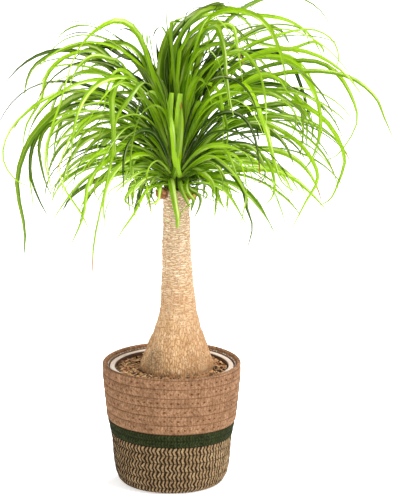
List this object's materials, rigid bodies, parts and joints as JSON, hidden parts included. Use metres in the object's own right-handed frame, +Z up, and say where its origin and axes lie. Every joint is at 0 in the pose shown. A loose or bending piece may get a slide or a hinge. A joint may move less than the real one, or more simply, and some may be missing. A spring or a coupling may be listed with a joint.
{
  "type": "potted ponytail palm",
  "caption": "Ponytail palm with a slim trunk on a swollen base and arching strap leaves, in a nursery pot inside a sewn braid basket with a green band.",
  "frame": {"origin": "middle of the basket's base, on the floor", "axes": "+Z up along the trunk, +Y away from the picture's camera, +X to its right"},
  "size_m": [0.5081, 0.528, 0.6249],
  "materials": {
    "tan_braid": "matte",
    "green_braid": "matte",
    "patterned_braid": "matte",
    "liner_film": "satin",
    "pot_plastic": "satin",
    "soil": "matte",
    "bark": "matte",
    "leaf": "satin",
    "dry_shoot": "matte"
  },
  "bodies": {
    "root": {"basket_tan_braid": "tan_braid", "basket_green_braid": "green_braid", "basket_patterned_braid": "patterned_braid", "film_liner": "liner_film", "nursery_pot": "pot_plastic", "soil": "soil", "trunk": "bark", "leaf_head_right": "leaf", "leaf_head_back_right": "leaf", "leaf_head_back_left": "leaf", "leaf_head_left": "leaf", "leaf_head_front_left": "leaf", "leaf_head_front_right": "leaf", "cut_shoot_left": "dry_shoot", "cut_shoot_right": "dry_shoot"}
  },
  "joints": []
}
